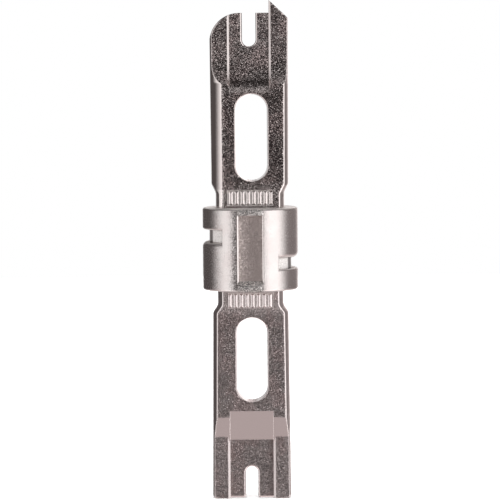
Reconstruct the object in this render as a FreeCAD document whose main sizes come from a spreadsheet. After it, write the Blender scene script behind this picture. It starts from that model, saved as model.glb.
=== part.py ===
"""A double-ended blade for a punch-down tool, in three pieces.

The cut end has a wire fork with a cutter beside it, and the seat end has a plain fork. Each is a cast
bar with a tang, and both tangs sit in the slot of a turned bayonet collar, which the tool's chuck holds.

Frame: millimetres, +Z along the blade towards the cutter, the broad faces look along -Y and +Y, and the
origin is the middle of the collar.
"""

import FreeCAD, Part
import os

import Sketcher
from FreeCAD import Placement, Rotation, Vector

# Every driving dimension in millimetres, and the number of ribs. Heights are measured along the blade
# from the middle of the collar. Lengths called half run from the centreline to one side.
DIMENSIONS = [
    ("collar_radius", 7.0, "Collar, outside"),
    ("collar_half_height", 6.05, "Collar, from its middle to an end face"),
    ("collar_edge_round", 0.35, "Rounding of the collar's rims"),
    ("collar_band_height", 4.9, "Collar, from its middle to where its wall turns into an end band"),
    ("notch_floor_radius", 6.0, "Radius of the floor of both bayonet notches"),
    ("notch_half_sweep", 54.0, "Half the angle of a bayonet notch, in degrees"),
    ("notch_end_round", 0.4, "Rounding where a notch's floor meets its ends"),
    ("notch_near_round", 0.8, "Rounding of the notch lip nearer the collar's middle"),
    ("notch_far_round", 0.35, "Rounding of the other notch lip"),
    ("left_notch_near", 1.1, "Notch on -X, its side nearer the collar's middle"),
    ("left_notch_far", 2.9, "Notch on -X, its other side"),
    ("right_notch_near", 1.3, "Notch on +X, its side nearer the collar's middle"),
    ("right_notch_far", 2.85, "Notch on +X, its other side"),
    ("pocket_floor", 6.2, "Distance of the pockets' floors from the axis"),
    ("pocket_mouth", 7.3, "Distance from the axis where the pockets' mouths are measured"),
    ("pocket_floor_half_width", 1.76, "Pocket, across its floor"),
    ("pocket_mouth_half_width", 2.18, "Pocket, across its mouth"),
    ("pocket_floor_low", 4.5, "Pocket's floor, from the collar's middle to its lower end"),
    ("pocket_floor_high", 5.1, "Pocket's floor, from the collar's middle to its upper end"),
    ("pocket_mouth_low", 5.4, "Pocket's mouth, from the collar's middle to its lower end"),
    ("pocket_mouth_high", 5.25, "Pocket's mouth, from the collar's middle to its upper end"),
    ("tang_half_width", 4.0, "Tang and the collar's slot"),
    ("tang_half_thickness", 2.0, "Tang and the collar's slot"),
    ("bar_half_thickness", 2.55, "Bar between its two broad flats"),
    ("bar_edge_round", 0.4, "Rounding of the flats' long edges"),
    ("shoulder_round", 0.9, "Rounding at both ends of a shoulder"),
    ("window_edge_round", 0.15, "Rounding of the window's edges"),
    ("window_draft", 3.0, "Draft of the window's walls, in degrees"),
    ("slot_edge_round", 0.33, "Rounding of the fork slot's edges"),
    ("web_half_thickness", 0.8, "Floor of the fork's channel"),
    ("waste", 12.0, "Reach of the cutting shapes past the bar"),
    # The cut end
    ("cut_neck_radius", 5.05, "Neck beside the collar"),
    ("cut_shoulder_low", 8.2, "Start of the shoulder"),
    ("cut_shoulder_high", 9.5, "End of the shoulder"),
    ("cut_root_radius", 5.68, "Bar above the shoulder"),
    ("cut_tip_radius", 5.8, "Bar at its tip"),
    ("cut_length", 36.5, "Cutter's point"),
    ("cut_window_low", 10.05, "Window's lower end, at the middle of the thickness"),
    ("cut_window_high", 22.65, "Window's upper end, at the middle of the thickness"),
    ("cut_window_half_width", 2.27, "Window, at the middle of the thickness"),
    ("cut_window_offset", 0.28, "Window's centreline from the axis, towards +X"),
    ("cut_channel_half_width", 2.92, "Channel between the cheeks"),
    ("cut_channel_start", 22.9, "Start of the channel's curved floor"),
    ("cut_channel_end", 27.4, "End of the channel's curved floor"),
    ("cut_cheek_start", 24.2, "Start of the cheeks' hollow grind"),
    ("cut_cheek_end", 27.6, "End of the cheeks' hollow grind"),
    ("cut_cheek_half_thickness", 1.2, "Cheeks beside the fork"),
    ("cut_slot_half_width", 1.0, "Fork slot"),
    ("cut_slot_bottom", 29.7, "Bottom of the fork slot"),
    ("cut_fork_top", 34.6, "Top of the fork's prongs"),
    ("cut_lip_bevel", 0.27, "Bevel along the channel's lips"),
    ("cut_heel_round", 4.35, "Large corner opposite the cutter"),
    ("cut_heel_side", 5.8, "Side of the bar at the large corner"),
    ("cut_heel_top", 1.5, "Where the large corner meets the top"),
    ("cutter_outer", 5.9, "Outer side of the cutter"),
    ("cutter_corner", 33.7, "Height where the cutter's slope meets its side"),
    ("cutter_bevel_depth", 2.0, "Grind of the cutting edge, through the thickness"),
    ("cutter_bevel_width", 1.1, "Grind of the cutting edge, across the slope"),
    ("heel_bevel", 0.16, "Bevel around the large corner"),
    ("panel_left", 3.3, "Marking panel, from the axis to its -X side"),
    ("panel_right", 3.3, "Marking panel, from the axis to its +X side"),
    ("panel_depth", 0.1, "Depth of the marking panel"),
    ("rib_count", 8, "Ribs on a marking panel"),
    ("rib_pitch", 0.84, "From one rib to the next"),
    ("rib_half_width", 0.3, "A rib at its foot"),
    ("rib_height", 0.2, "A rib, from the panel's floor"),
    ("rib_taper", -50.0, "Slope of a rib's sides, in degrees from upright"),
    ("cut_panel_low", 6.3, "Marking panel's side nearer the collar"),
    ("cut_panel_high", 8.7, "Marking panel's other side"),
    ("rib_margin", 0.2, "From a rib's end to the panel's side"),
    # The seat end, measured along its own bar
    ("seat_neck_radius", 4.85, "Neck beside the collar"),
    ("seat_shoulder_low", 8.3, "Start of the shoulder"),
    ("seat_shoulder_high", 9.4, "End of the shoulder"),
    ("seat_root_radius", 5.58, "Bar past the shoulder"),
    ("seat_tip_radius", 5.82, "Bar at its tip"),
    ("seat_length", 36.9, "Tip of the fork"),
    ("seat_window_low", 10.25, "Window's near end, at the middle of the thickness"),
    ("seat_window_high", 22.45, "Window's far end, at the middle of the thickness"),
    ("seat_window_half_width", 2.2, "Window, at the middle of the thickness"),
    ("seat_window_offset", -0.14, "Window's centreline from the axis"),
    ("seat_channel_half_width", 3.2, "Channel between the cheeks"),
    ("seat_channel_start", 23.9, "Start of the channel's ramp"),
    ("seat_channel_end", 28.3, "End of the channel's ramp"),
    ("seat_cheek_start", 24.8, "Start of the cheeks' ramp"),
    ("seat_cheek_end", 27.8, "End of the cheeks' ramp"),
    ("seat_cheek_half_thickness", 1.75, "Cheeks beside the fork"),
    ("seat_slot_half_width", 0.9, "Fork slot"),
    ("seat_slot_bottom", 32.3, "Bottom of the fork slot"),
    ("seat_lip_bevel", 0.32, "Bevel along the channel's lips"),
    ("seat_corner_round", 0.45, "Fork's outer corners"),
    ("seat_prong_round", 0.3, "Fork's inner corners"),
    ("seat_panel_low", 6.4, "Marking panel's side nearer the collar"),
    ("seat_panel_high", 8.8, "Marking panel's other side"),
]

LINE = "line"


class Bow:
    """An arc from one corner of an outline to the next.

    side is +1 or -1 for an arc that bulges to the left or right of the way from start to end. radius
    names its size, and without one the arc runs smoothly into the line that follows it.
    """

    def __init__(self, side, radius=None):
        self.side = side
        self.radius = radius


doc = FreeCAD.newDocument("punch_down_blade")
sheet = doc.addObject("Spreadsheet::Sheet", "dims")
for row, (alias, value, meaning) in enumerate(DIMENSIONS, start=1):
    sheet.set(f"A{row}", meaning)
    sheet.set(f"B{row}", str(value))
    sheet.setAlias(f"B{row}", alias)
doc.recompute()


def signed_names(text):
    """The names in a sum such as "a - b + c", each with its sign."""
    sign = 1
    for word in text.split():
        if word in "+-":
            sign = 1 if word == "+" else -1
        else:
            yield (-sign, word[1:]) if word.startswith("-") else (sign, word)
            sign = 1


def number(text):
    """What a sum of the sheet's names comes to, in millimetres."""
    return sum(sign * float(sheet.get(name)) for sign, name in signed_names(text) if name != "0")


def formula(text):
    """The same sum as a FreeCAD expression."""
    terms = [("-" if sign < 0 else "+") + "dims." + name for sign, name in signed_names(text) if name != "0"]
    return "0" if not terms else " ".join(terms).removeprefix("+")


def negated(text):
    """The sum with every sign turned."""
    terms = [("-" if sign > 0 else "") + name for sign, name in signed_names(text)]
    return " + ".join(terms)


def bind(feature, prop, text):
    feature.setExpression(prop, formula(text))


def plane(body, role):
    return next(item for item in body.Origin.OriginFeatures if item.Role == role)


def new_sketch(body, name, role, offset="0"):
    """A sketch on one of the body's own planes, moved along the plane's normal by offset."""
    sketch = body.newObject("Sketcher::SketchObject", name)
    sketch.AttachmentSupport = [(plane(body, role), "")]
    sketch.MapMode = "FlatFace"
    if offset != "0":
        bind(sketch, ".AttachmentOffset.Base.z", offset)
    return sketch


def pin_point(sketch, geometry, end, across, up):
    """Holds one end of a line or arc at a place that the sheet gives."""
    for kind, text in (("DistanceX", across), ("DistanceY", up)):
        index = sketch.addConstraint(Sketcher.Constraint(kind, -1, 1, geometry, end, number(text)))
        if text != "0":
            bind(sketch, f"Constraints[{index}]", text)


def bowed(start, end, side):
    """A first guess at an arc, which its constraints then settle."""
    chord = end - start
    bulge = Vector(-chord.y, chord.x, 0) * (0.2 * side)
    return Part.Arc(start, (start + end) * 0.5 + bulge, end)


def add_outline(sketch, corners):
    """A closed outline. Each corner is (across, up, way), and way says how the next corner is reached."""
    first = sketch.GeometryCount
    points = [Vector(number(across), number(up), 0) for across, up, _ in corners]
    starts = []
    for index, (_, _, way) in enumerate(corners):
        start, end = points[index], points[(index + 1) % len(points)]
        if way == LINE:
            sketch.addGeometry(Part.LineSegment(start, end))
            starts.append(1)
        else:
            sketch.addGeometry(bowed(start, end, way.side))
            # Sketcher runs every arc anticlockwise, so one that bulges left starts at its far corner.
            starts.append(2 if way.side > 0 else 1)
    for index, (across, up, _) in enumerate(corners):
        geometry = first + index
        after = first + (index + 1) % len(corners)
        far_end = 3 - starts[index]
        pin_point(sketch, geometry, starts[index], across, up)
        sketch.addConstraint(
            Sketcher.Constraint("Coincident", geometry, far_end, after, starts[(index + 1) % len(corners)])
        )
    for index, (_, _, way) in enumerate(corners):
        if way == LINE:
            continue
        if way.radius is None:
            sketch.addConstraint(Sketcher.Constraint("Tangent", first + index, first + index + 1))
        else:
            size = Sketcher.Constraint("Radius", first + index, number(way.radius))
            bind(sketch, f"Constraints[{sketch.addConstraint(size)}]", way.radius)


def add_rectangle(sketch, left, right, low, high):
    add_outline(sketch, [(left, low, LINE), (right, low, LINE), (right, high, LINE), (left, high, LINE)])


def cut_through(body, name, sketch, half_width=None):
    """Pockets a sketch both ways from its plane, by half_width or right through."""
    pocket = body.newObject("PartDesign::Pocket", name)
    pocket.Profile = sketch
    pocket.SideType = "Symmetric"
    bind(pocket, "Length", "waste + waste" if half_width is None else f"{half_width} + {half_width}")
    doc.recompute()
    return pocket


def edges_where(feature, wanted):
    """The names of a feature's edges that wanted(edge) is true for."""
    return [f"Edge{index}" for index, edge in enumerate(feature.Shape.Edges, start=1) if wanted(edge)]


def round_edges(body, name, wanted, radius):
    base = body.Tip
    fillet = body.newObject("PartDesign::Fillet", name)
    fillet.Base = (base, edges_where(base, wanted))
    fillet.Refine = False
    bind(fillet, "Radius", radius)
    doc.recompute()
    return fillet


def bevel_edges(body, name, wanted, size, second_size=None, flip=False):
    base = body.Tip
    chamfer = body.newObject("PartDesign::Chamfer", name)
    chamfer.Base = (base, edges_where(base, wanted))
    chamfer.Refine = False
    bind(chamfer, "Size", size)
    if second_size is not None:
        chamfer.ChamferType = "Two distances"
        chamfer.FlipDirection = flip
        bind(chamfer, "Size2", second_size)
    doc.recompute()
    return chamfer


def middle(edge):
    return edge.valueAt((edge.FirstParameter + edge.LastParameter) / 2)


def near(value, text, slack=0.02):
    return abs(value - number(text)) < slack


def turned_bar(body, end):
    """The round bar with its neck, shoulder and slight taper, cut to two flats with rounded edges.

    One half is made, with its flat, and mirrored to the other face.
    """
    sketch = new_sketch(body, "bar_profile", "XZ_Plane")
    corners = [
        ("0", "collar_half_height", LINE),
        (f"{end}_neck_radius", "collar_half_height", LINE),
        (f"{end}_neck_radius", f"{end}_shoulder_low", LINE),
        (f"{end}_root_radius", f"{end}_shoulder_high", LINE),
        (f"{end}_tip_radius", f"{end}_length", LINE),
        ("0", f"{end}_length", LINE),
    ]
    add_outline(sketch, corners)
    bar = body.newObject("PartDesign::Revolution", "turned_bar")
    bar.Profile = sketch
    bar.ReferenceAxis = (sketch, ["V_Axis"])
    bar.Angle = 180
    doc.recompute()

    def at_shoulder(edge):
        heights = (f"{end}_shoulder_low", f"{end}_shoulder_high")
        return edge.BoundBox.ZLength < 0.01 and any(near(edge.BoundBox.Center.z, name) for name in heights)

    round_edges(body, "shoulder_rounds", at_shoulder, "shoulder_round")

    flat = new_sketch(body, "flat_outline", "XY_Plane")
    add_rectangle(flat, "-waste", "waste", "bar_half_thickness", "waste")
    add_rectangle(flat, "-waste", "waste", "-waste", "-bar_half_thickness")
    pocket = body.newObject("PartDesign::Pocket", "flat")
    pocket.Profile = flat
    pocket.Reversed = True
    bind(pocket, "Length", f"{end}_length + waste")
    doc.recompute()
    if end == "cut":
        heel_edge(body)

    def beside_flat(edge):
        box = edge.BoundBox
        on_flat = near(abs(box.Center.y), "bar_half_thickness") and box.YLength < 0.01
        return on_flat and box.ZLength > 0.2 and abs(box.Center.x) > number("tang_half_width")

    round_edges(body, "long_edge_rounds", beside_flat, "bar_edge_round")

    mirrored = body.newObject("PartDesign::Mirrored", "both_faces")
    mirrored.TransformMode = "Whole shape"
    mirrored.MirrorPlane = (plane(body, "XZ_Plane"), [""])
    body.Tip = mirrored
    doc.recompute()


def tang(body):
    sketch = new_sketch(body, "tang_outline", "XY_Plane")
    add_rectangle(
        sketch, "-tang_half_width", "tang_half_width", "-tang_half_thickness", "tang_half_thickness"
    )
    pad = body.newObject("PartDesign::Pad", "tang")
    pad.Profile = sketch
    bind(pad, "Length", "collar_half_height")
    doc.recompute()


def window(body, end):
    """The oval window through the bar, drafted both ways from the middle of its thickness."""
    half_width = f"{end}_window_half_width"
    left, right = f"{end}_window_offset - {half_width}", f"{end}_window_offset + {half_width}"
    low_centre = f"{end}_window_low + {half_width}"
    high_centre = f"{end}_window_high - {half_width}"
    sketch = new_sketch(body, "window_outline", "XZ_Plane")
    corners = [
        (right, low_centre, LINE),
        (right, high_centre, Bow(-1, half_width)),
        (left, high_centre, LINE),
        (left, low_centre, Bow(-1, half_width)),
    ]
    add_outline(sketch, corners)
    pocket = cut_through(body, "window", sketch)
    bind(pocket, "TaperAngle", "window_draft")
    doc.recompute()

    def on_window(edge):
        box = edge.BoundBox
        on_flat = box.YLength < 0.01 and near(abs(box.Center.y), "bar_half_thickness")
        low, high = number(f"{end}_window_low"), number(f"{end}_window_high")
        return on_flat and abs(box.Center.x) < number(right) + 0.5 and low - 0.3 < box.Center.z < high + 0.3

    round_edges(body, "window_rounds", on_window, "window_edge_round")


def thin(body, end, feature, way, half_thickness, half_width=None):
    """Thins both faces towards the tip, along a ramp or a hollow curve, then parallel to the flats."""
    sketch = new_sketch(body, f"{feature}_profile", "YZ_Plane")
    start, finish, tip = f"{end}_{feature}_start", f"{end}_{feature}_end", f"{end}_length + waste"
    for sign in ("", "-"):
        facing = way if way == LINE else Bow(way.side if sign == "" else -way.side)
        corners = [
            (sign + "bar_half_thickness", start, facing),
            (sign + half_thickness, finish, LINE),
            (sign + half_thickness, tip, LINE),
            (sign + "waste", tip, LINE),
            (sign + "waste", start, LINE),
        ]
        add_outline(sketch, corners)
    cut_through(body, feature, sketch, half_width)


def bevel_lips(body, end, start):
    """Bevels the lips of the fork's channel past start, where its walls meet the cheeks."""
    base = body.Tip
    wall = f"{end}_channel_half_width"

    def on_lip(edge):
        box, at = edge.BoundBox, middle(edge)
        on_wall = box.XLength < 0.01 and box.ZLength > 0.5 and near(abs(at.x), wall)
        cheek_side = at + Vector(0.05 if at.x > 0 else -0.05, 0.02 if at.y > 0 else -0.02, 0)
        past_start = at.z > number(start) and abs(at.y) > number("web_half_thickness") + 0.1
        return on_wall and past_start and not base.Shape.isInside(cheek_side, 0.001, False)

    bevel_edges(body, "lip_bevels", on_lip, f"{end}_lip_bevel")


def round_slot(body, end, top):
    """Rounds the edges of the fork's slot on both faces."""

    def beside_slot(edge):
        box = edge.BoundBox
        on_web = box.YLength < 0.01 and near(abs(box.Center.y), "web_half_thickness")
        in_slot = abs(box.Center.x) < number(f"{end}_slot_half_width") + 0.01
        return on_web and in_slot and number(f"{end}_slot_bottom") - 0.1 < box.Center.z < number(top) - 0.01

    round_edges(body, "slot_rounds", beside_slot, "slot_edge_round")


def marking_panel(body, end):
    """A shallow panel on the front of the neck with a row of plain ribs."""
    outline = new_sketch(body, "panel_outline", "XZ_Plane", "bar_half_thickness - panel_depth")
    low, high = f"{end}_panel_low", f"{end}_panel_high"
    add_rectangle(outline, "-panel_left", "panel_right", low, high)
    panel = body.newObject("PartDesign::Pocket", "marking_panel")
    panel.Profile = outline
    panel.Reversed = True
    bind(panel, "Length", "waste")
    doc.recompute()

    sketch = new_sketch(body, "rib_outline", "XZ_Plane", "bar_half_thickness - panel_depth")
    left = "-panel_left + rib_margin"
    right = f"{left} + rib_half_width + rib_half_width"
    add_rectangle(sketch, left, right, f"{low} + rib_margin", f"{high} - rib_margin")
    rib = body.newObject("PartDesign::Pad", "rib")
    rib.Profile = sketch
    bind(rib, "Length", "rib_height")
    bind(rib, "TaperAngle", "rib_taper")
    doc.recompute()
    row = body.newObject("PartDesign::LinearPattern", "rib_row")
    row.Originals = [rib]
    row.Direction = (sketch, ["H_Axis"])
    row.Mode = "Spacing"
    row.setExpression("Offset", "dims.rib_pitch")
    row.setExpression("Occurrences", "dims.rib_count")
    body.Tip = row
    doc.recompute()


def cut_end():
    """The bar whose fork has a rounded heel on one side and a sloping cutter on the other."""
    body = doc.addObject("PartDesign::Body", "cut_end_blade")
    turned_bar(body, "cut")
    window(body, "cut")
    thin(body, "cut", "cheek", Bow(1), "cut_cheek_half_thickness")
    thin(body, "cut", "channel", Bow(1), "web_half_thickness", "cut_channel_half_width")
    bevel_lips(body, "cut", "cut_cheek_start")

    outline = new_sketch(body, "tip_outline", "XZ_Plane")
    slot_shoulder = "cut_slot_bottom + cut_slot_half_width"
    corners = [
        ("-waste", "cut_fork_top - cut_heel_round", LINE),
        ("-cut_heel_side", "cut_fork_top - cut_heel_round", Bow(1, "cut_heel_round")),
        ("-cut_heel_top", "cut_fork_top", LINE),
        ("-cut_slot_half_width", "cut_fork_top", LINE),
        ("-cut_slot_half_width", slot_shoulder, Bow(-1, "cut_slot_half_width")),
        ("cut_slot_half_width", slot_shoulder, LINE),
        ("cut_slot_half_width", "cut_fork_top", LINE),
        ("cut_channel_half_width", "cut_fork_top", LINE),
        ("cut_channel_half_width", "cut_length", LINE),
        ("cutter_outer", "cutter_corner", LINE),
        ("waste", "cutter_corner", LINE),
        ("waste", "cut_length + waste", LINE),
        ("-waste", "cut_length + waste", LINE),
    ]
    add_outline(outline, corners)
    cut_through(body, "tip", outline)
    round_slot(body, "cut", "cut_fork_top")

    def on_heel(edge):
        at = middle(edge)
        on_cheek = edge.BoundBox.YLength < 0.01 and near(abs(at.y), "cut_cheek_half_thickness")
        return on_cheek and edge.Curve.TypeId == "Part::GeomCircle" and at.z > number("cut_cheek_end")

    bevel_edges(body, "heel_bevels", on_heel, "heel_bevel")

    def on_back_slope(edge):
        box = edge.BoundBox
        on_cheek = box.YLength < 0.01 and near(box.Center.y, "cut_cheek_half_thickness")
        sloping = box.XLength > 1 and box.ZLength > 1
        return on_cheek and sloping and box.Center.x > number("cut_channel_half_width")

    bevel_edges(body, "cutting_edge", on_back_slope, "cutter_bevel_width", "cutter_bevel_depth")
    tang(body)
    marking_panel(body, "cut")
    return body


def heel_edge(body):
    """Rounds the whole of one narrow side, opposite the cutter, to a half round."""
    sketch = new_sketch(body, "heel_edge_outline", "XY_Plane")
    start = "-cut_heel_side + bar_half_thickness"
    corners = [
        (start, "-bar_half_thickness", Bow(1, "bar_half_thickness")),
        (start, "bar_half_thickness", LINE),
        ("-waste", "bar_half_thickness", LINE),
        ("-waste", "-bar_half_thickness", LINE),
    ]
    add_outline(sketch, corners)
    pocket = body.newObject("PartDesign::Pocket", "heel_edge")
    pocket.Profile = sketch
    pocket.Reversed = True
    bind(pocket, "Length", "cut_length + waste")
    doc.recompute()


def seat_end():
    """The bar with a plain fork, turned to point down."""
    body = doc.addObject("PartDesign::Body", "seat_end_blade")
    turned_bar(body, "seat")
    window(body, "seat")
    thin(body, "seat", "cheek", LINE, "seat_cheek_half_thickness")
    thin(body, "seat", "channel", LINE, "web_half_thickness", "seat_channel_half_width")
    bevel_lips(body, "seat", "seat_cheek_end")

    outline = new_sketch(body, "slot_outline", "XZ_Plane")
    slot_shoulder = "seat_slot_bottom + seat_slot_half_width"
    corners = [
        ("-seat_slot_half_width", "seat_length + waste", LINE),
        ("-seat_slot_half_width", slot_shoulder, Bow(-1, "seat_slot_half_width")),
        ("seat_slot_half_width", slot_shoulder, LINE),
        ("seat_slot_half_width", "seat_length + waste", LINE),
    ]
    add_outline(outline, corners)
    cut_through(body, "slot", outline)

    def at_outer_corner(edge):
        box = edge.BoundBox
        return near(box.Center.z, "seat_length") and box.YLength > 1 and abs(box.Center.x) > 5

    def at_prong(edge):
        box = edge.BoundBox
        beside_slot = near(abs(box.Center.x), "seat_slot_half_width")
        return near(box.Center.z, "seat_length") and beside_slot and box.YLength > 1

    round_edges(body, "outer_corners", at_outer_corner, "seat_corner_round")
    round_edges(body, "prong_corners", at_prong, "seat_prong_round")
    round_slot(body, "seat", "seat_length")
    tang(body)
    marking_panel(body, "seat")
    body.Placement = Placement(Vector(0, 0, 0), Rotation(Vector(0, 1, 0), 180))
    return body


def notch(body, name, near_side, far_side, turn):
    """A bayonet groove round part of the collar, with rounded lips. turn sets the side it lies on."""
    sketch = new_sketch(body, f"{name}_profile", "XZ_Plane")
    corners = [
        ("-notch_floor_radius", near_side, LINE),
        ("-collar_radius + notch_near_round", near_side, Bow(-1, "notch_near_round")),
        ("-collar_radius", f"{near_side} - notch_near_round", LINE),
        ("-waste", f"{near_side} - notch_near_round", LINE),
        ("-waste", f"{far_side} + notch_far_round", LINE),
        ("-collar_radius", f"{far_side} + notch_far_round", Bow(-1, "notch_far_round")),
        ("-collar_radius + notch_far_round", far_side, LINE),
        ("-notch_floor_radius", far_side, LINE),
    ]
    add_outline(sketch, [(turn(across), turn(up), way) for across, up, way in corners])
    groove = body.newObject("PartDesign::Groove", name)
    groove.Profile = sketch
    groove.ReferenceAxis = (sketch, ["V_Axis"])
    groove.Midplane = True
    groove.Refine = False
    bind(groove, "Angle", "notch_half_sweep + notch_half_sweep")
    doc.recompute()


def pocket_wedge(body, name, front):
    """A shallow pocket with drafted walls in one face of the collar."""
    wedge = body.newObject("PartDesign::SubtractiveWedge", name)
    wedge.Refine = False
    sides = {"floor": ("2" if front else ""), "mouth": ("" if front else "2")}
    for place, suffix in sides.items():
        bind(wedge, f"X{suffix}min", f"-pocket_{place}_half_width")
        bind(wedge, f"X{suffix}max", f"pocket_{place}_half_width")
        bind(wedge, f"Z{suffix}min", f"-pocket_{place}_low")
        bind(wedge, f"Z{suffix}max", f"pocket_{place}_high")
    bind(wedge, "Ymin", "-pocket_mouth" if front else "pocket_floor")
    bind(wedge, "Ymax", "-pocket_floor" if front else "pocket_mouth")
    doc.recompute()


def bayonet_collar():
    """The turned sleeve with its two bayonet notches, a pocket in each face and the tangs' slot.

    Its wall is a middle stretch that the pockets and notches cut, and a full band at each end. Unrefined
    features keep these as separate faces.
    """
    body = doc.addObject("PartDesign::Body", "bayonet_collar")
    sketch = new_sketch(body, "collar_profile", "XZ_Plane")
    heights = ("-collar_half_height", "-collar_band_height", "collar_band_height", "collar_half_height")
    wall = [("collar_radius", height, LINE) for height in heights]
    add_outline(sketch, [("0", heights[0], LINE), *wall, ("0", heights[-1], LINE)])
    turned = body.newObject("PartDesign::Revolution", "turned_collar")
    turned.Profile = sketch
    turned.ReferenceAxis = (sketch, ["V_Axis"])
    turned.Refine = False
    doc.recompute()

    def at_rim(edge):
        return near(abs(edge.BoundBox.Center.z), "collar_half_height") and edge.BoundBox.ZLength < 0.01

    round_edges(body, "rims", at_rim, "collar_edge_round")
    notch(body, "left_notch", "left_notch_near", "left_notch_far", lambda text: text)
    notch(body, "right_notch", "right_notch_near", "right_notch_far", negated)

    def notch_end(edge):
        at = middle(edge)
        upright = edge.BoundBox.XLength < 0.01 and edge.BoundBox.YLength < 0.01
        return upright and near((at.x**2 + at.y**2) ** 0.5, "notch_floor_radius")

    round_edges(body, "notch_end_rounds", notch_end, "notch_end_round")
    pocket_wedge(body, "front_pocket", True)
    pocket_wedge(body, "back_pocket", False)
    slot = new_sketch(body, "slot_outline", "XY_Plane")
    add_rectangle(
        slot, "-tang_half_width", "tang_half_width", "-tang_half_thickness", "tang_half_thickness"
    )
    tang_slot = cut_through(body, "tang_slot", slot)
    tang_slot.Refine = False
    doc.recompute()
    return body


cut_end()
seat_end()
bayonet_collar()
doc.recompute()

os.makedirs("parts", exist_ok=True)
for item in doc.Objects:
    if "Invalid" in item.State or "Error" in item.State:
        raise RuntimeError(f"{item.Name} failed: {item.State}")
for body in doc.findObjects("PartDesign::Body"):
    if body.Shape.isNull() or not body.Shape.isValid():
        raise RuntimeError(f"{body.Label} has no valid shape")
    body.Shape.exportStep(f"parts/{body.Label}.step")
    print(body.Label, round(body.Shape.Volume, 2), body.Shape.BoundBox)
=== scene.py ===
"""The looks of the punch-down blade: cast and turned nickel-plated steel in a soft studio."""

import math

import bpy
from mathutils import Matrix, Vector


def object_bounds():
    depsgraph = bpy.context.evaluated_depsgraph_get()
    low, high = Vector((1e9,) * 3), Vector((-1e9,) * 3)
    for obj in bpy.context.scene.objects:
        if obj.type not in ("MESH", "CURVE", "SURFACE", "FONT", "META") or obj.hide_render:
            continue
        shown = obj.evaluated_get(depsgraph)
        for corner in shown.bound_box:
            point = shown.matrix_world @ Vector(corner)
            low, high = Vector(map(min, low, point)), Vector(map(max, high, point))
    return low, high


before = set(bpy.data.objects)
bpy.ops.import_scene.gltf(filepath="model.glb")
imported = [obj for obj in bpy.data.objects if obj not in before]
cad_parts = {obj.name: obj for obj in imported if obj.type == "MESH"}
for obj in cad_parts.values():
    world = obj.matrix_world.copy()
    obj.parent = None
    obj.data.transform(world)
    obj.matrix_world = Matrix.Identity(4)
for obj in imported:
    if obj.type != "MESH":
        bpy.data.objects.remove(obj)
cad_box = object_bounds()

MM = 0.001

# An edge is a pair of values: a mask is 0 at the first and 1 at the second. A span is a low end, a high end and
# how soft both are. Places are in metres from the blade's middle: x is across, y is depth and z is height.
# Slopes are parts of the facing direction.

# Places and slopes on the castings
FORK_HEIGHT = (23.2 * MM, 23.8 * MM)
TIP_HEIGHT = (20 * MM, 24 * MM)
BLASTED_HEIGHT = (22 * MM, 27 * MM)
CHANNEL_FOOT_SPAN = (23.6 * MM, 24.4 * MM, 0.7 * MM)
LEFT_FLANK_HEIGHT_SPAN = (0.1 * MM, 24.2 * MM, 0.4 * MM)
LEFT_FLANK_X = (-3.95 * MM, -4.35 * MM)
CHEEK_OUTSIDE_X = (3.7 * MM, 4.1 * MM)
CHANNEL_X = (3.0 * MM, 2.9 * MM)
LIP_X_SPAN = (2.9 * MM, 3.45 * MM, 0.04 * MM)
LIP_SLOPE_SPAN = (0.6, 0.8, 0.08)
PANEL_DEPTH = (2.49 * MM, 2.46 * MM)
PANEL_SOFTNESS = 0.1 * MM
PANEL_SURROUND = 1.6 * MM
RIB_X = (3.5 * MM, 3.3 * MM)
RIB_SLOPE = (0.35, 0.55)
BROAD_SLOPE = (0.4, 0.2)
GROUND_SLOPE = (-0.16, -0.24)
SCUFFED_SLOPE = (0.75, 0.9)

# Places and slopes on the collar
NOTCH_RADIUS = (6.75 * MM, 6.5 * MM)
NOTCH_X = (2.6 * MM, 3.0 * MM)
NOTCH_CORNER_SPAN = (5.55 * MM, 5.85 * MM, 0.12 * MM)
BELOW_RIMS_HEIGHT = (5.7 * MM, 5.5 * MM)
HOLLOW_X = (2.3 * MM, 2.1 * MM)
HOLLOW_RADIUS = (6.95 * MM, 6.85 * MM)
WALL_SLOPE = (0.5, 0.8)
END_WALL_SLOPE = (0.15, 0.3)
POCKET_DEPTH = (6.5 * MM, 6.25 * MM)
POCKET_X = (2.2 * MM, 2.0 * MM)
POCKET_SLOPE = (0.9, 0.97)
CREST_X = (2.0 * MM, 1.7 * MM)
CREST_HEIGHT = (5.1 * MM, 5.25 * MM)
CREST_RADIUS = (6.5 * MM, 6.7 * MM)
END_FACE_SLOPE = (0.5, 0.8)
GLITTER_X = (1.6 * MM, 2.2 * MM)

# Worn edges of every piece, drawn as shading
EDGE_RADIUS = 0.08 * MM
CHEEK_EDGE_EXTRA = 0.2 * MM
EDGE_SAMPLES = 6

# Sizes of stains, grain and patches
STAIN_SIZE = 0.16 * MM
CAST_PATCH_SIZE = 3.2 * MM
TURNED_PATCH_SIZE = 2.5 * MM
SCUFF_SIZE = 0.9 * MM
SWELL_SIZE = 0.5 * MM
SWELL_HEIGHT = 0.006 * MM
RING_SIZE = 0.16 * MM
RING_HEIGHT = 0.008 * MM
GRAIN_HEIGHT = 0.008 * MM
TURNED_FACET_SIZE = 0.11 * MM

# The collar's tones: painted sheen in the notches and pocket, painted shade in the notch corners
NOTCH_PAINTED_SHEEN_TONE = (0.95, 0.92, 0.9, 1)
NOTCH_SPECKLE_TONE = (0.76, 0.73, 0.71, 1)
NOTCH_CORNER_PAINTED_SHADE = (0.25, 0.23, 0.225, 1)
POCKET_TONE_AND_PAINTED_SHEEN = (0.8, 0.7, 0.67, 1)
SPECKLE_DARK = (0.3, 0.28, 0.27, 1)
SPECKLE_LIGHT = (1.0, 0.96, 0.94, 1)


# ---------------------------------------------------------------- node helpers

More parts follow.
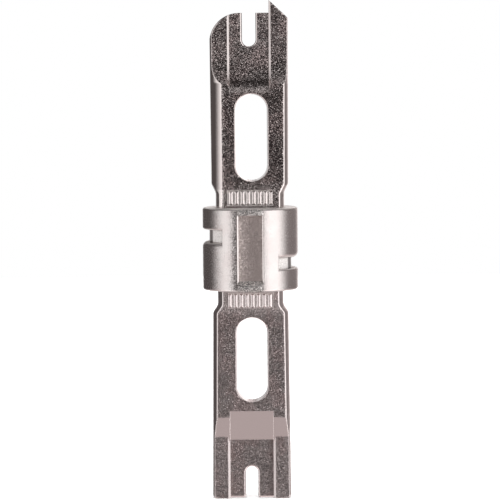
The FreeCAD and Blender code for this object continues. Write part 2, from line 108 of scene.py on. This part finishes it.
class Nodes:
    """A node tree with short ways to add and join nodes."""

    def __init__(self, tree):
        self.tree = tree
        tree.nodes.clear()

    def add(self, kind, **settings):
        node = self.tree.nodes.new(kind)
        for name, value in settings.items():
            setattr(node, name, value)
        return node

    def join(self, output, socket):
        """Feeds a socket from another node's output, or sets it to a plain value."""
        if isinstance(output, bpy.types.NodeSocket):
            self.tree.links.new(output, socket)
        else:
            socket.default_value = output

    def math(self, operation, *inputs):
        node = self.add("ShaderNodeMath", operation=operation)
        for value, socket in zip(inputs, node.inputs):
            self.join(value, socket)
        return node.outputs[0]

    def product(self, *factors):
        result = factors[0]
        for factor in factors[1:]:
            result = self.math("MULTIPLY", result, factor)
        return result

    def total(self, *terms):
        result = terms[0]
        for term in terms[1:]:
            result = self.math("ADD", result, term)
        return result

    def ramp(self, value, start, end, low=0.0, high=1.0):
        """value's smooth step from low, at start, to high, at end."""
        node = self.add("ShaderNodeMapRange", interpolation_type="SMOOTHSTEP")
        for socket, item in zip(node.inputs, (value, start, end, low, high)):
            self.join(item, socket)
        return node.outputs[0]

    def within(self, value, low, high, soft):
        """1 where value lies between low and high, and 0 further out than soft."""
        return self.product(self.ramp(value, low - soft, low), self.ramp(value, high + soft, high))

    def mix(self, factor, first, second):
        node = self.add("ShaderNodeMix", data_type="RGBA")
        for socket, item in zip((node.inputs[0], node.inputs[6], node.inputs[7]), (factor, first, second)):
            self.join(item, socket)
        return node.outputs[2]

    def split(self, vector):
        node = self.add("ShaderNodeSeparateXYZ")
        self.join(vector, node.inputs[0])
        return node.outputs

    def vector(self, x=0.0, y=0.0, z=0.0):
        node = self.add("ShaderNodeCombineXYZ")
        for value, socket in zip((x, y, z), node.inputs):
            self.join(value, socket)
        return node.outputs[0]

    def vector_math(self, operation, *inputs):
        node = self.add("ShaderNodeVectorMath", operation=operation)
        for value, socket in zip(inputs, node.inputs):
            self.join(value, socket)
        return node.outputs[0]

    def scaled(self, vector, amount):
        node = self.add("ShaderNodeVectorMath", operation="SCALE")
        self.join(vector, node.inputs[0])
        self.join(amount, node.inputs["Scale"])
        return node.outputs[0]

    def noise(self, place, size, detail=2.0, roughness=0.5, output="Fac"):
        """Noise whose features are about size across, in metres."""
        node = self.add("ShaderNodeTexNoise")
        self.join(place, node.inputs["Vector"])
        node.inputs["Scale"].default_value = 1 / size
        node.inputs["Detail"].default_value = detail
        node.inputs["Roughness"].default_value = roughness
        return node.outputs[output]


# ------------------------------------------------------------------- materials

class Metal(Nodes):
    """A plated steel, built up from masks and bumps, with its nodes for place and direction at hand."""

    def __init__(self, name):
        material = bpy.data.materials.new(name)
        material.use_nodes = True
        super().__init__(material.node_tree)
        self.material = material
        self.shader = self.add("ShaderNodeBsdfPrincipled")
        self.join(self.shader.outputs[0], self.add("ShaderNodeOutputMaterial").inputs["Surface"])
        self.shader.inputs["Metallic"].default_value = 1.0

        self.place = self.add("ShaderNodeTexCoord").outputs["Object"]
        self.x, self.y, self.z = self.split(self.place)
        self.across, self.depth, self.height = self.sizes(self.place)
        self.facing = self.worn_facing()
        self.facing_z = self.split(self.facing)[2]
        self.sideways, self.frontways, self.endways = self.sizes(self.facing)

    def sizes(self, vector):
        """The three parts of a vector without their signs."""
        return [self.math("ABSOLUTE", part) for part in self.split(vector)]

    def worn_facing(self):
        """The facing direction, rounded along edges, and more so along the outside of the cheeks."""
        cheek_outside = self.product(self.ramp(self.height, *FORK_HEIGHT), self.ramp(self.across, *CHEEK_OUTSIDE_X))
        bevel = self.add("ShaderNodeBevel", samples=EDGE_SAMPLES)
        radius = self.total(self.product(cheek_outside, CHEEK_EDGE_EXTRA), EDGE_RADIUS)
        self.join(radius, bevel.inputs["Radius"])
        return bevel.outputs[0]

    def outward(self, amount):
        """amount, with the sign that leads away from the blade's middle plane, to the front or to the back."""
        return self.product(self.math("SIGN", self.y), amount)

    def facets(self, size, seed):
        """A random direction for each of many small facets about size across, each part from -0.5 to 0.5."""
        moved = self.vector_math("ADD", self.place, (seed, 0.0, 0.0))
        wobble = self.scaled(self.noise(moved, size, output="Color"), size * 0.5)
        cell = self.add("ShaderNodeTexVoronoi")
        self.join(self.vector_math("ADD", moved, wobble), cell.inputs["Vector"])
        cell.inputs["Scale"].default_value = 1 / size
        return self.vector_math("SUBTRACT", cell.outputs["Color"], (0.5, 0.5, 0.5))

    def finish(self, color, roughness, lean, ripple):
        """Joins up the shader: lean turns the facing direction and ripple is a height."""
        self.join(color, self.shader.inputs["Base Color"])
        self.join(roughness, self.shader.inputs["Roughness"])
        facing = self.vector_math("NORMALIZE", self.vector_math("ADD", self.facing, lean))
        node = self.add("ShaderNodeBump")
        node.inputs["Strength"].default_value = 1.0
        node.inputs["Distance"].default_value = 1.0
        self.join(ripple, node.inputs["Height"])
        self.join(facing, node.inputs["Normal"])
        self.join(node.outputs[0], self.shader.inputs["Normal"])
        return self.material


def tinted(color, brightness=1.0, coolness=1.0):
    """color made brighter or darker, with its green and blue raised or lowered by coolness."""
    red, green, blue = color
    return (red * brightness, green * brightness * coolness, blue * brightness * coolness, 1)


def cast_metal(name, color, roughness, facet_size, tilt, pit_strength, panel, tip_roughness):
    """Shot-blasted and plated casting: glittering facets on the broad faces, smoother round sides.

    tilt is how far the facets lean, and pit_strength how strongly the dark pits show. panel is the heights
    between which the marking panel lies, and tip_roughness is added past the window.
    """
    metal = Metal(name)
    ground = metal.ramp(metal.facing_z, *GROUND_SLOPE)
    broad = metal.product(metal.ramp(metal.sideways, *BROAD_SLOPE), metal.math("SUBTRACT", 1.0, ground))
    panel_heights = metal.within(metal.z, *panel, PANEL_SOFTNESS)
    marked = metal.product(panel_heights, metal.ramp(metal.depth, *PANEL_DEPTH))
    rib_side = metal.product(panel_heights, metal.ramp(metal.sideways, *RIB_SLOPE), metal.ramp(metal.across, *RIB_X))
    near_panel = metal.within(metal.z, *panel, PANEL_SURROUND)
    tip = metal.ramp(metal.height, *TIP_HEIGHT)
    scuffs = metal.product(metal.ramp(metal.noise(metal.place, SCUFF_SIZE, 4.0, 0.6), 0.48, 0.66),
                           metal.ramp(metal.sideways, *SCUFFED_SLOPE))
    patch = metal.noise(metal.place, CAST_PATCH_SIZE, 3.0)
    stain = metal.noise(metal.place, STAIN_SIZE)

    browned = metal.product(metal.ramp(patch, 0.45, 0.62), broad)
    tone = metal.mix(browned, tinted(color), tinted(color, 0.92, 0.93))
    pits = metal.product(metal.ramp(stain, 0.58, 0.4), broad, pit_strength, metal.math("SUBTRACT", 1.0, marked))
    tone = metal.mix(pits, tone, tinted(color, 0.3, 0.9))
    # Painted sheen: the marking panel's floor is painted lighter, beside its real rougher finish.
    tone = metal.mix(marked, tone, tinted(color, 1.2, 1.02))
    tone = metal.mix(scuffs, tone, tinted(color, 0.8, 0.97))

    # The facets lean most in the marking panel and on the blasted cut end, and least at the channel's foot.
    spread = metal.ramp(patch, 0.35, 0.65, low=tilt * 0.9, high=tilt * 1.1)
    blasted = metal.ramp(metal.z, *BLASTED_HEIGHT, low=1.0, high=1.25)
    channel_foot = metal.product(metal.within(metal.z, *CHANNEL_FOOT_SPAN), metal.ramp(metal.across, *CHANNEL_X))
    sheltered = metal.math("SUBTRACT", 1.0, metal.product(channel_foot, 0.42))
    stamped = metal.total(metal.ramp(marked, 0.0, 1.0, low=1.0, high=1.8), metal.product(near_panel, 0.25))
    amount = metal.total(metal.product(spread, broad, blasted, sheltered, stamped), 0.02)
    coarse = metal.scaled(metal.facets(facet_size, seed=0.0), amount)
    fine = metal.scaled(metal.facets(facet_size * 0.6, seed=0.7), amount)

    # The channel's lips and the ribs' sides lean forward, and the cut end's left flank leans to its side.
    lip = metal.product(metal.within(metal.across, *LIP_X_SPAN), metal.within(metal.sideways, *LIP_SLOPE_SPAN))
    forward = metal.outward(metal.total(metal.product(lip, 0.12), metal.product(rib_side, 0.08)))
    left_flank = metal.product(metal.ramp(metal.x, *LEFT_FLANK_X), metal.within(metal.z, *LEFT_FLANK_HEIGHT_SPAN))
    drawn = metal.vector(x=metal.product(left_flank, -0.3), y=forward)
    lean = metal.vector_math("ADD", metal.vector_math("ADD", coarse, fine), drawn)

    rough = metal.ramp(broad, 0.0, 1.0, low=roughness * 0.6, high=roughness)
    rough = metal.total(rough, metal.product(scuffs, 0.05))
    for mask, more in ((marked, 0.24), (near_panel, 0.09), (tip, tip_roughness)):
        rough = metal.total(rough, metal.product(mask, broad, more))
    ripple = metal.product(metal.noise(metal.place, SWELL_SIZE), SWELL_HEIGHT)
    return metal.finish(tone, rough, lean, ripple)


def turned_metal(name, color, roughness):
    """Turned and plated collar: faint rings round it, coarse crests, notches, end faces and pocket painted lighter
    as painted sheen, and painted shade in the notches' corners.
    """
    metal = Metal(name)
    radius = metal.math("SQRT", metal.total(metal.product(metal.x, metal.x), metal.product(metal.y, metal.y)))
    below_rims = metal.ramp(metal.height, *BELOW_RIMS_HEIGHT)
    notch = metal.product(metal.ramp(radius, *NOTCH_RADIUS), metal.ramp(metal.across, *NOTCH_X), below_rims)
    # Painted shade: a dark stripe along the notches' outer corners, where their floors round off.
    notch_corner_shade = metal.product(notch, metal.within(metal.across, *NOTCH_CORNER_SPAN))
    hollow = metal.product(metal.ramp(metal.across, *HOLLOW_X), metal.ramp(radius, *HOLLOW_RADIUS), below_rims)
    side_wall = metal.product(hollow, metal.ramp(metal.sideways, *WALL_SLOPE))
    end_wall = metal.product(hollow, metal.ramp(metal.endways, *END_WALL_SLOPE))
    pocket = metal.product(metal.ramp(metal.depth, *POCKET_DEPTH), metal.ramp(metal.across, *POCKET_X), below_rims,
                           metal.ramp(metal.frontways, *POCKET_SLOPE))
    crest = metal.product(metal.ramp(metal.across, *CREST_X), metal.ramp(metal.height, *CREST_HEIGHT),
                          metal.ramp(radius, *CREST_RADIUS))
    blasted = metal.math("MAXIMUM", crest, end_wall)
    # Painted sheen: the notch floors and the collar's top and bottom end faces are made rougher and painted near
    # white.
    matt_and_painted_sheen = metal.math("MAXIMUM", notch, metal.ramp(metal.endways, *END_FACE_SLOPE))
    patch = metal.noise(metal.place, TURNED_PATCH_SIZE, 3.0)
    grain = metal.noise(metal.place, STAIN_SIZE, 2.0, 0.6)

    tone = metal.mix(metal.ramp(patch, 0.35, 0.7), tinted(color), tinted(color, 0.96, 0.97))
    tone = metal.mix(matt_and_painted_sheen, tone, NOTCH_PAINTED_SHEEN_TONE)
    tone = metal.mix(metal.product(notch, metal.ramp(grain, 0.42, 0.56)), tone, NOTCH_SPECKLE_TONE)
    # The pocket's floor has a warmer, reddish tone of its own and is painted lighter as painted sheen.
    tone = metal.mix(pocket, tone, POCKET_TONE_AND_PAINTED_SHEEN)
    tone = metal.mix(blasted, tone, metal.mix(metal.ramp(grain, 0.4, 0.6), SPECKLE_DARK, SPECKLE_LIGHT))
    # Painted shade in the notches' corners.
    tone = metal.mix(notch_corner_shade, tone, NOTCH_CORNER_PAINTED_SHADE)

    rough = metal.ramp(grain, 0.3, 0.7, low=roughness * 0.85, high=roughness * 1.15)
    for mask, more in ((pocket, 0.26), (blasted, 0.3), (matt_and_painted_sheen, 0.34)):
        rough = metal.total(rough, metal.product(mask, more))

    # The pocket's floor is bent as if it were hollow, and the notches and side walls lean outward.
    glitter = metal.ramp(metal.x, *GLITTER_X, low=0.1, high=0.04)
    amount = metal.total(glitter, metal.product(blasted, 0.45), metal.product(pocket, 0.21))
    bent = metal.vector(
        x=metal.product(metal.x, pocket, -110.0),
        y=metal.outward(metal.total(metal.product(notch, 0.6), metal.product(side_wall, 1.2))),
    )
    lean = metal.vector_math("ADD", metal.scaled(metal.facets(TURNED_FACET_SIZE, seed=0.3), amount), bent)

    # Squeezed nearly flat across, the noise runs round the collar as rings.
    squeezed = metal.vector(metal.product(metal.x, 0.06), metal.product(metal.y, 0.06), metal.z)
    rings = metal.noise(squeezed, RING_SIZE)
    ripple = metal.total(metal.product(rings, RING_HEIGHT), metal.product(grain, GRAIN_HEIGHT))
    return metal.finish(tone, rough, lean, ripple)


finishes = {
    "cut_end_blade": cast_metal(
        "coarse_cast_nickel", color=(0.66, 0.6, 0.585), roughness=0.15, facet_size=0.1 * MM, tilt=0.37,
        pit_strength=0.85, panel=(6.3 * MM, 8.7 * MM), tip_roughness=0.0,
    ),
    "seat_end_blade": cast_metal(
        "fine_cast_nickel", color=(0.67, 0.6, 0.59), roughness=0.28, facet_size=0.09 * MM, tilt=0.395,
        pit_strength=0.5, panel=(-8.8 * MM, -6.4 * MM), tip_roughness=0.05,
    ),
    "bayonet_collar": turned_metal("turned_nickel", color=(0.655, 0.612, 0.598), roughness=0.24),
}
for node, finish in finishes.items():
    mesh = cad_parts[node].data
    mesh.materials.clear()
    mesh.materials.append(finish)


# ----------------------------------------------------------------------- stage

def floor():
    """A white disc just under the blade."""
    radius = 0.45
    corners = 96
    height = cad_box[0].z - 0.02 * MM
    turns = [math.tau * i / corners for i in range(corners)]
    points = [(radius * math.cos(turn), radius * math.sin(turn), height) for turn in turns]
    mesh = bpy.data.meshes.new("floor")
    mesh.from_pydata(points, [], [list(range(corners))])
    disc = bpy.data.objects.new("floor", mesh)
    bpy.context.scene.collection.objects.link(disc)

    material = bpy.data.materials.new("floor_white")
    material.use_nodes = True
    nodes = Nodes(material.node_tree)
    output = nodes.add("ShaderNodeOutputMaterial")
    diffuse = nodes.add("ShaderNodeBsdfDiffuse")
    diffuse.inputs["Color"].default_value = (0.9, 0.9, 0.9, 1)
    nodes.join(diffuse.outputs[0], output.inputs["Surface"])
    mesh.materials.append(material)
    disc.visible_glossy = False


def overhead_lamp():
    """Soft light from above for the floor. The blade doesn't reflect it."""
    lamp = bpy.data.lights.new("overhead", "AREA")
    lamp.shape = "DISK"
    lamp.size = 1.2
    lamp.energy = 22
    holder = bpy.data.objects.new("overhead", lamp)
    holder.location = (0, 0, 0.9)
    holder.visible_glossy = False
    holder.visible_camera = False
    bpy.context.scene.collection.objects.link(holder)


def studio():
    """Softboxes to both sides, a pale surface below and a dim room elsewhere, all as world light.

    Angles are in degrees: azimuth is 0 at the front and grows to the right. The camera sees plain white.
    """
    world = bpy.data.worlds.new("studio")
    bpy.context.scene.world = world
    world.use_nodes = True
    nodes = Nodes(world.node_tree)
    x, y, z = nodes.split(nodes.add("ShaderNodeTexCoord").outputs["Generated"])
    degrees = 180 / math.pi
    azimuth = nodes.product(nodes.math("ARCTAN2", x, nodes.product(y, -1.0)), degrees)
    elevation = nodes.product(nodes.math("ARCSINE", z), degrees)
    left_azimuth = nodes.product(azimuth, -1.0)
    off_front = nodes.math("ABSOLUTE", azimuth)

    def softbox(angle, inner, fade_start, fade_end, radiance):
        """A tall softbox to one side. Its edge nearer the camera is at inner, and it fades away behind."""
        soft = 4
        near = nodes.ramp(angle, inner - soft, inner + soft)
        far = nodes.ramp(angle, fade_start, fade_end, low=radiance, high=0.0)
        upright = nodes.product(nodes.ramp(elevation, -56, -44), nodes.ramp(elevation, 53, 37))
        return nodes.product(near, far, upright)

    boxes = nodes.total(
        softbox(left_azimuth, inner=45, fade_start=62, fade_end=112, radiance=1.25),
        softbox(azimuth, inner=34, fade_start=68, fade_end=106, radiance=1.62),
        nodes.ramp(off_front, 158, 172, high=0.6),
        nodes.ramp(elevation, 66, 80, high=0.9),
    )
    room = nodes.total(
        nodes.ramp(azimuth, 85, 105, high=0.17),
        nodes.ramp(azimuth, 142, 165, high=0.5),
        nodes.ramp(elevation, -14, -34, high=0.6),
        nodes.ramp(off_front, 15, 40, low=0.03, high=0.11),
    )
    room_tint = (1.0, 0.9, 0.89)
    color = nodes.add("ShaderNodeCombineColor")
    for socket, share in zip(color.inputs, room_tint):
        nodes.join(nodes.total(boxes, nodes.product(room, share)), socket)
    light = nodes.add("ShaderNodeBackground")
    nodes.join(color.outputs[0], light.inputs["Color"])
    seen = nodes.add("ShaderNodeBackground")
    seen.inputs["Color"].default_value = (1, 1, 1, 1)
    choice = nodes.add("ShaderNodeMixShader")
    nodes.join(nodes.add("ShaderNodeLightPath").outputs["Is Camera Ray"], choice.inputs[0])
    nodes.join(light.outputs[0], choice.inputs[1])
    nodes.join(seen.outputs[0], choice.inputs[2])
    nodes.join(choice.outputs[0], nodes.add("ShaderNodeOutputWorld").inputs["Surface"])


def camera():
    """Nearly level, from the front, with a long lens."""
    elevation = math.radians(3.8)
    roll = math.radians(0.45)
    distance = 589.6 * MM
    aim = Vector((-0.06, 0, -0.3)) * MM
    data = bpy.data.cameras.new("camera")
    data.sensor_width = 36
    data.lens = 8 * data.sensor_width
    data.clip_start, data.clip_end = 0.05, 20
    item = bpy.data.objects.new("camera", data)
    back = Vector((0, -math.cos(elevation), math.sin(elevation)))
    item.matrix_world = (
        Matrix.Translation(aim + back * distance)
        @ (-back).to_track_quat("-Z", "Y").to_matrix().to_4x4()
        @ Matrix.Rotation(-roll, 4, "Z")
    )
    bpy.context.scene.collection.objects.link(item)
    bpy.context.scene.camera = item


floor()
overhead_lamp()
studio()
camera()
bpy.context.scene.view_settings.view_transform = "Standard"
